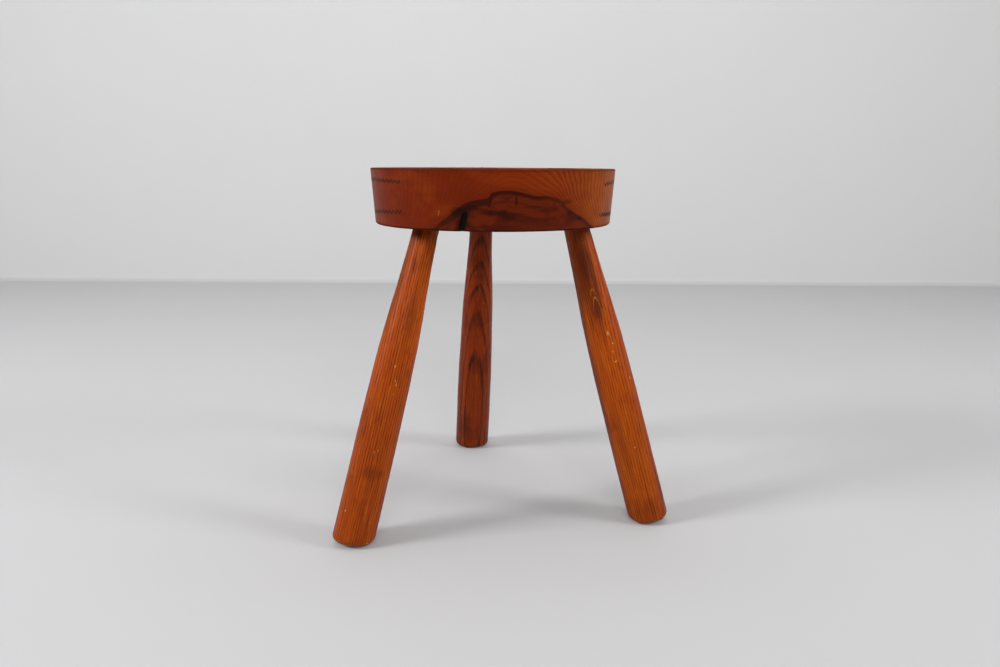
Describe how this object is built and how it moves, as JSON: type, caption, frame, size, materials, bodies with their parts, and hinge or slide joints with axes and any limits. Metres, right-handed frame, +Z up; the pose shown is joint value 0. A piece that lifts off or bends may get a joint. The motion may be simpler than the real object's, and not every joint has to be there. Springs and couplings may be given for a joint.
{
  "type": "milking stool",
  "caption": "Wooden milking stool: thick round tapered plank seat on splayed round legs, each let through the seat and wedged from above.",
  "frame": {"origin": "on the floor, in the middle of the stool's overall footprint", "axes": "+Z up out of the seat; X along the seat's grain from the front left leg to the front right leg; +Y towards the single back leg"},
  "size_m": [0.4286, 0.4027, 0.448],
  "materials": {
    "seat_wood": "satin varnish, reddish brown with a dark heartwood figure on the front of the rim",
    "leg_wood": "satin varnish, orange brown, open straight grain, worn feet",
    "wedge_wood": "satin varnish, end grain",
    "strip_steel": "dark, rusted and varnished over"
  },
  "bodies": {
    "root": {"seat": "seat_wood", "leg_front_left": "leg_wood", "leg_front_right": "leg_wood", "leg_back": "leg_wood", "wedge_front_left": "wedge_wood", "wedge_front_right": "wedge_wood", "wedge_back": "wedge_wood", "strip_left_upper": "strip_steel", "strip_left_lower": "strip_steel", "strip_right_upper": "strip_steel", "strip_right_lower": "strip_steel"}
  },
  "joints": []
}
